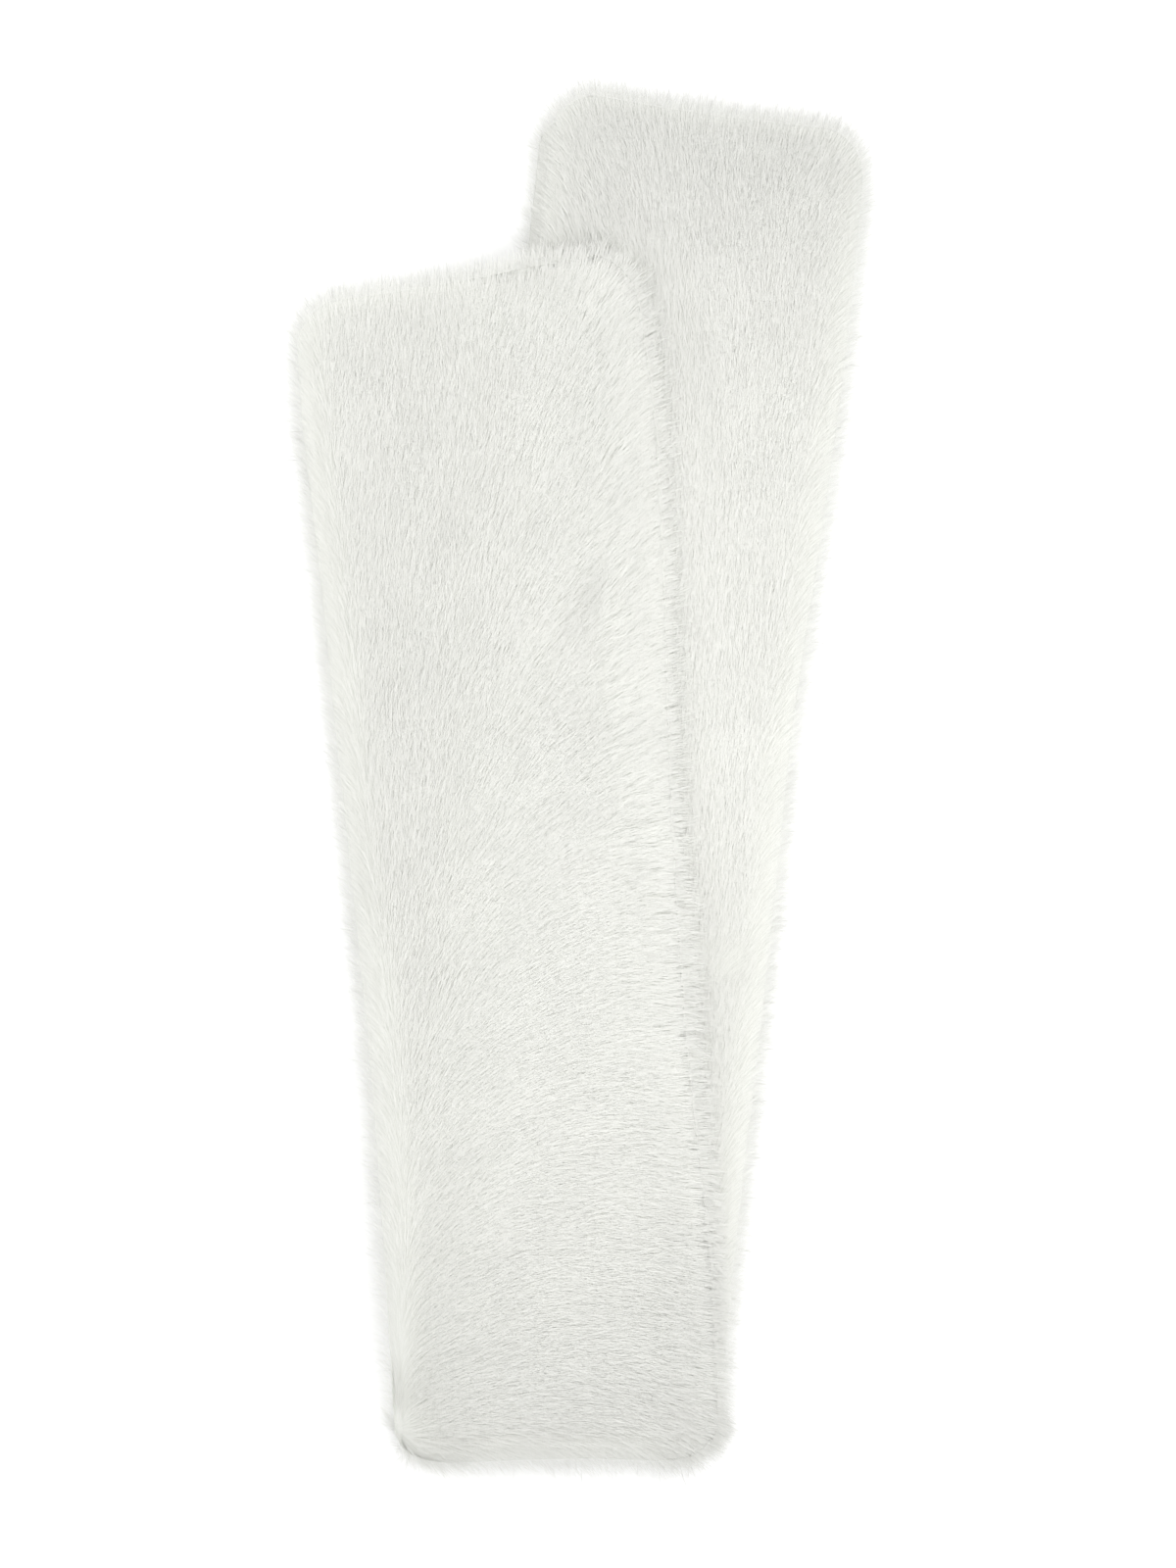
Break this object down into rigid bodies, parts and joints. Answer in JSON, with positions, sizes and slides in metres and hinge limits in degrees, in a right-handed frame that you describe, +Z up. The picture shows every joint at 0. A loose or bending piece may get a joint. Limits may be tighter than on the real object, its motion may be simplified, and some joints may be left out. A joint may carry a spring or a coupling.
{
  "type": "fur collar wrap",
  "caption": "White fur collar wrap with fur on both faces and rounded ends, folded once across its middle and laid flat.",
  "frame": {"origin": "on the surface it lies on, in the middle of the wrap's box", "axes": "+Y along the folded wrap from its fold to its free ends, +Z up from the surface, +X to the right with the front leg on the left"},
  "size_m": [0.2392, 0.5664, 0.0373],
  "materials": {
    "ivory_fur": "dense soft pile, about 12 mm long, ivory white"
  },
  "bodies": {
    "root": {"outer_panel": "ivory_fur", "inner_panel": "ivory_fur", "hidden_layers": "ivory_fur"}
  },
  "joints": []
}
